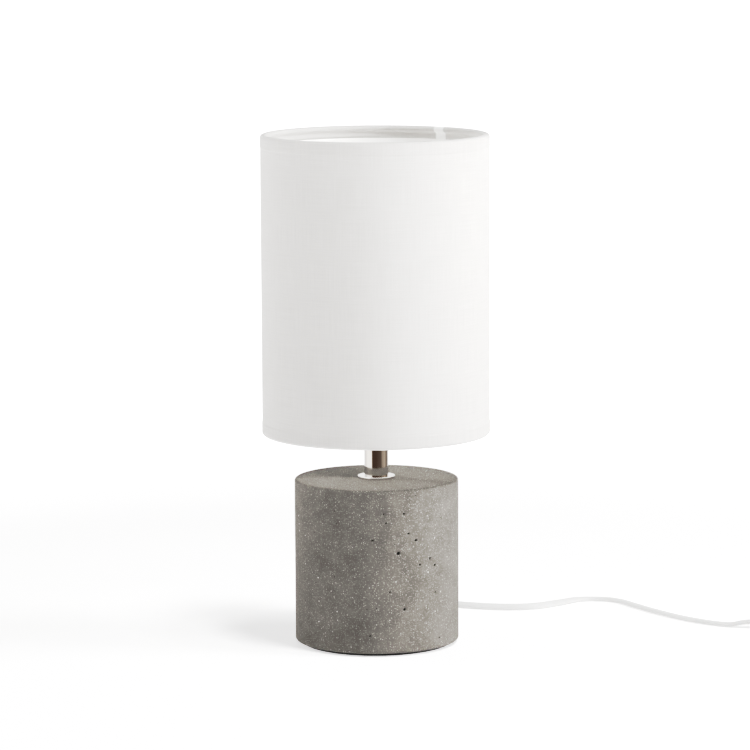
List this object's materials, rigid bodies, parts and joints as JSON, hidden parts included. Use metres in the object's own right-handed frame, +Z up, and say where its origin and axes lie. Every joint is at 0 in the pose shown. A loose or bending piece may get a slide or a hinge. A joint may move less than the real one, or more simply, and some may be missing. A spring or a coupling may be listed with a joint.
{
  "type": "table lamp",
  "caption": "Table lamp with a cast concrete cylinder base, a short chromed stem, a white drum shade that turns on its lampholder, and a cord with an inline rocker switch and plug.",
  "frame": {"origin": "centre of the base's underside, on the table", "axes": "+Z up along the stem; +X to the right seen from the front, which faces -Y; the cord leaves at the rear, +Y"},
  "size_m": [0.4475, 0.266, 0.3365],
  "materials": {
    "concrete": "fine terrazzo, cast, matt, with white specks and pin holes",
    "felt": "pressed felt",
    "gland_plastic": "moulded",
    "zinc_steel": "zinc plated",
    "chrome": "polished",
    "cord_pvc": "satin",
    "core_brown": "satin",
    "core_blue": "satin",
    "holder_plastic": "fine grained",
    "holder_core_plastic": "moulded",
    "brass": "bright",
    "ring_plastic": "fine grained",
    "shade_wire": "white coated",
    "shade_fabric": "plain woven",
    "shade_liner": "smooth sheet",
    "globe": "frosted",
    "collar": "smooth",
    "led_board": "printed board",
    "bulb_cap": "rolled thread",
    "insulator": "glossy",
    "solder": "solder",
    "switch_plastic": "fine grained",
    "rocker_plastic": "smooth",
    "tie_plastic": "satin",
    "plug_plastic": "satin moulded",
    "pin_metal": "nickel plated",
    "sleeve_plastic": "satin"
  },
  "bodies": {
    "lamp": {"concrete_base": "concrete", "felt_pad": "felt", "cord_gland": "gland_plastic", "threaded_rod": "zinc_steel", "bottom_nut": "zinc_steel", "bottom_washer": "zinc_steel", "lock_washer": "zinc_steel", "stem_flange": "chrome", "stem_tube": "chrome", "inner_cord": "cord_pvc", "core_wire_brown": "core_brown", "core_wire_blue": "core_blue", "holder_cap": "holder_plastic", "holder_core": "holder_core_plastic", "terminal_screws": "brass", "holder_skirt": "holder_plastic", "holder_screw_shell": "brass", "holder_centre_contact": "brass", "cord_to_switch": "cord_pvc", "switch_lower_case": "switch_plastic", "switch_upper_case": "switch_plastic", "rocker_pin": "zinc_steel", "switch_screws": "zinc_steel", "switch_terminals": "brass", "cord_to_coil": "cord_pvc", "cord_coil": "cord_pvc", "coil_tie": "tie_plastic", "cord_to_plug": "cord_pvc", "plug_body": "plug_plastic", "plug_boot": "plug_plastic", "plug_pins": "pin_metal", "pin_sleeves": "sleeve_plastic"},
    "shade": {"fitter_ring": "shade_wire", "spider_arm_1": "shade_wire", "spider_arm_2": "shade_wire", "spider_arm_3": "shade_wire", "bottom_ring": "shade_wire", "top_ring": "shade_wire", "shade_liner": "shade_liner", "shade_fabric": "shade_fabric"},
    "shade_ring": {"shade_ring": "ring_plastic"},
    "bulb": {"bulb_globe": "globe", "bulb_collar": "collar", "led_board": "led_board", "bulb_screw_cap": "bulb_cap", "bulb_insulator": "insulator", "bulb_contact": "solder"},
    "switch_rocker": {"switch_rocker": "rocker_plastic"}
  },
  "joints": [
    {"name": "shade_turn", "type": "hinge", "parent": "lamp", "child": "shade", "pos_m": [0, 0, 0.168], "axis": [0, 0, 1], "continuous": true},
    {"name": "shade_ring_turn", "type": "hinge", "parent": "lamp", "child": "shade_ring", "pos_m": [0, 0, 0.173], "axis": [0, 0, 1], "range_deg": [0, 1080]},
    {"name": "bulb_turn", "type": "hinge", "parent": "lamp", "child": "bulb", "pos_m": [0, 0, 0.188], "axis": [0, 0, 1], "range_deg": [0, 1440]},
    {"name": "rocker_tip", "type": "hinge", "parent": "lamp", "child": "switch_rocker", "pos_m": [0.295, 0.034, 0.0125], "axis": [0, 1, 0], "range_deg": [0, 20]}
  ]
}
